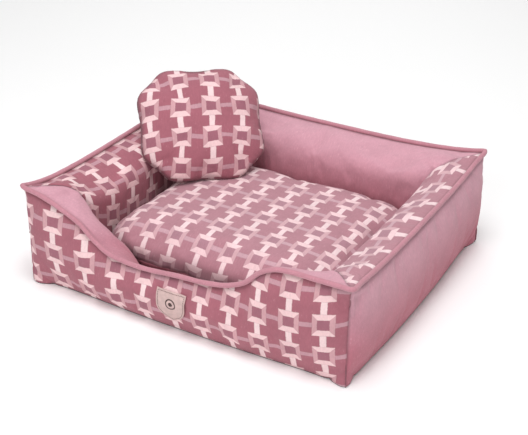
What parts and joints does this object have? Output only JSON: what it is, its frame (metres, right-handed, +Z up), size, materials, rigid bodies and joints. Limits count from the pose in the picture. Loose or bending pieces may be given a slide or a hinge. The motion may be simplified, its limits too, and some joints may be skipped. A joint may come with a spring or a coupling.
{
  "type": "pet cushion bed",
  "caption": "Rectangular pet bed with stuffed walls, a low front entry, a loose crowned mattress and a loose pillow.",
  "frame": {"origin": "on the floor, under the centre of the bed", "axes": "+Z up, X along the bed's long side with +X to the right seen from the entry, the entry in the wall at -Y"},
  "size_m": [0.6238, 0.5376, 0.2639],
  "materials": {
    "printed_cloth": "woven cotton-polyester with a printed lattice in cream, pale pink and rose; matt",
    "plain_cloth": "plain dusty pink woven cloth with a light fleck; matt",
    "piping_cloth": "plain pink cloth on the bias round a cord; matt",
    "label_leather": "greyish beige pink leather-look, stitched round its edge; satin",
    "stuffing": "white siliconised fibre; matt",
    "under_cloth": "dark woven base cloth; matt"
  },
  "bodies": {
    "bed": {"base_under_panel": "under_cloth", "base_pad": "stuffing", "base_lining": "plain_cloth", "front_outer_panel": "printed_cloth", "front_inner_panel": "plain_cloth", "front_foam": "stuffing", "back_outer_panel": "printed_cloth", "back_inner_panel": "plain_cloth", "back_foam": "stuffing", "left_outer_panel": "plain_cloth", "left_inner_panel": "printed_cloth", "left_foam": "stuffing", "right_outer_panel": "plain_cloth", "right_inner_panel": "printed_cloth", "right_foam": "stuffing", "top_piping": "piping_cloth", "label_patch": "label_leather"},
    "mattress": {"mattress_top_cover": "printed_cloth", "mattress_bottom_cover": "plain_cloth", "mattress_fill": "stuffing"},
    "pillow": {"pillow_front_panel": "printed_cloth", "pillow_back_panel": "printed_cloth", "pillow_fill": "stuffing"}
  },
  "joints": [
    {"name": "mattress_lift", "type": "slide", "parent": "bed", "child": "mattress", "axis": [0, 0, 1], "range_m": [0, 0.25]},
    {"name": "pillow_lift", "type": "slide", "parent": "mattress", "child": "pillow", "axis": [0, 0, 1], "range_m": [0, 0.2]}
  ]
}
